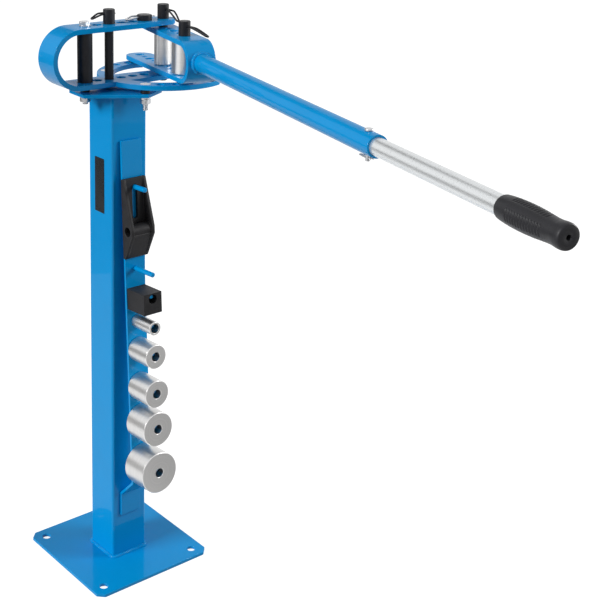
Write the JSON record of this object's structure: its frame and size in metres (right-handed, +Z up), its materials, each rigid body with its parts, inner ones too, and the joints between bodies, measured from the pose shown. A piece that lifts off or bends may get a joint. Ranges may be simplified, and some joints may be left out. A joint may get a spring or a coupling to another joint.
{
  "type": "manual tube bender",
  "caption": "Floor-standing manual tube bender: post with dies on a rack, fixed U frame with pins, and a swinging handle frame.",
  "frame": {"origin": "centre of the underside of the floor plate, on the axis of the post", "axes": "+Z up along the post, +X towards the bending head, -Y towards the die rack and the handle"},
  "size_m": [0.3482, 1.2276, 1.0583],
  "materials": {
    "blue_paint": "glossy powder coat",
    "black_steel": "black oxide, satin",
    "cast_black": "cast, painted black",
    "turned_steel": "turned, fine rings",
    "zinc_plate": "zinc plated",
    "silver_bar": "zinc plated, satin",
    "grip_rubber": "moulded, satin",
    "label_film": "plain dark film"
  },
  "bodies": {
    "stand": {"base_plate": "blue_paint", "base_weld": "blue_paint", "post": "blue_paint", "name_label": "label_film", "head_plate": "blue_paint", "head_weld": "blue_paint", "rack_strip": "blue_paint", "rack_pegs": "blue_paint", "fixed_frame": "blue_paint", "head_spacers": "black_steel", "frame_sleeve": "black_steel", "frame_bolt": "zinc_plate", "wing_screws": "zinc_plate", "flat_washers": "zinc_plate", "spring_washers": "zinc_plate", "head_nuts": "zinc_plate"},
    "handle": {"handle_frame": "blue_paint", "handle_socket": "blue_paint", "socket_weld": "blue_paint", "handle_bar": "silver_bar", "handle_grip": "grip_rubber", "lock_pin": "zinc_plate"},
    "centre_pin": {"centre_pin": "black_steel"},
    "centre_pin_clip": {"centre_pin_clip": "black_steel"},
    "anchor_pin": {"anchor_pin": "black_steel"},
    "anchor_pin_clip": {"anchor_pin_clip": "black_steel"},
    "stop_pin": {"stop_pin": "black_steel"},
    "stop_pin_clip": {"stop_pin_clip": "zinc_plate"},
    "follower_pin": {"follower_pin": "black_steel"},
    "follower_pin_clip": {"follower_pin_clip": "black_steel"},
    "centre_die": {"centre_die": "turned_steel"},
    "follower_die": {"follower_die": "turned_steel"},
    "lock_pin_clip": {"lock_pin_clip": "zinc_plate"},
    "vee_block": {"vee_block": "cast_black"},
    "square_block": {"square_block": "cast_black"},
    "die_1_inch": {"die_1_inch": "turned_steel"},
    "die_1_3_4_inch": {"die_1_3_4_inch": "turned_steel"},
    "die_2_inch": {"die_2_inch": "turned_steel"},
    "die_2_1_2_inch": {"die_2_1_2_inch": "turned_steel"},
    "die_3_inch": {"die_3_inch": "turned_steel"}
  },
  "joints": [
    {"name": "handle_swing", "type": "hinge", "parent": "stand", "child": "handle", "pos_m": [0.09637, -0.00505, 0.98005], "axis": [0, 0, 1], "range_deg": [-50, 80]},
    {"name": "centre_die_spin", "type": "hinge", "parent": "handle", "child": "centre_die", "pos_m": [0.09637, -0.00505, 0.98005], "axis": [0, 0, 1], "continuous": true},
    {"name": "follower_die_spin", "type": "hinge", "parent": "handle", "child": "follower_die", "pos_m": [0.0715, -0.10191, 0.98005], "axis": [0, 0, 1], "continuous": true},
    {"name": "centre_pin_lift", "type": "slide", "parent": "stand", "child": "centre_pin", "axis": [0, 0, 1], "range_m": [0, 0.13]},
    {"name": "anchor_pin_lift", "type": "slide", "parent": "stand", "child": "anchor_pin", "axis": [0, 0, 1], "range_m": [0, 0.13]},
    {"name": "stop_pin_lift", "type": "slide", "parent": "stand", "child": "stop_pin", "axis": [0, 0, 1], "range_m": [0, 0.02]},
    {"name": "follower_pin_lift", "type": "slide", "parent": "handle", "child": "follower_pin", "axis": [0, 0, 1], "range_m": [0, 0.1]},
    {"name": "centre_clip_pull", "type": "slide", "parent": "centre_pin", "child": "centre_pin_clip", "axis": [-0.007, -1, 0], "range_m": [0, 0.03]},
    {"name": "anchor_clip_pull", "type": "slide", "parent": "anchor_pin", "child": "anchor_pin_clip", "axis": [-0.9986, 0.0523, 0], "range_m": [0, 0.03]},
    {"name": "stop_clip_pull", "type": "slide", "parent": "stop_pin", "child": "stop_pin_clip", "axis": [-0.9986, 0.0523, 0], "range_m": [0, 0.02]},
    {"name": "follower_clip_pull", "type": "slide", "parent": "follower_pin", "child": "follower_pin_clip", "axis": [-0.007, -1, 0], "range_m": [0, 0.03]},
    {"name": "lock_clip_pull", "type": "slide", "parent": "handle", "child": "lock_pin_clip", "axis": [0.2487, 0.9686, 0], "range_m": [0, 0.016]},
    {"name": "vee_block_off", "type": "slide", "parent": "stand", "child": "vee_block", "axis": [0, -0.9983, 0.0581], "range_m": [0, 0.05]},
    {"name": "square_block_off", "type": "slide", "parent": "stand", "child": "square_block", "axis": [0, -0.9983, 0.0581], "range_m": [0, 0.06]},
    {"name": "die_1_inch_off", "type": "slide", "parent": "stand", "child": "die_1_inch", "axis": [0, -0.9983, 0.0581], "range_m": [0, 0.06]},
    {"name": "die_1_3_4_inch_off", "type": "slide", "parent": "stand", "child": "die_1_3_4_inch", "axis": [0, -0.9983, 0.0581], "range_m": [0, 0.06]},
    {"name": "die_2_inch_off", "type": "slide", "parent": "stand", "child": "die_2_inch", "axis": [0, -0.9983, 0.0581], "range_m": [0, 0.06]},
    {"name": "die_2_1_2_inch_off", "type": "slide", "parent": "stand", "child": "die_2_1_2_inch", "axis": [0, -0.9983, 0.0581], "range_m": [0, 0.06]},
    {"name": "die_3_inch_off", "type": "slide", "parent": "stand", "child": "die_3_inch", "axis": [0, -0.9983, 0.0581], "range_m": [0, 0.06]}
  ]
}
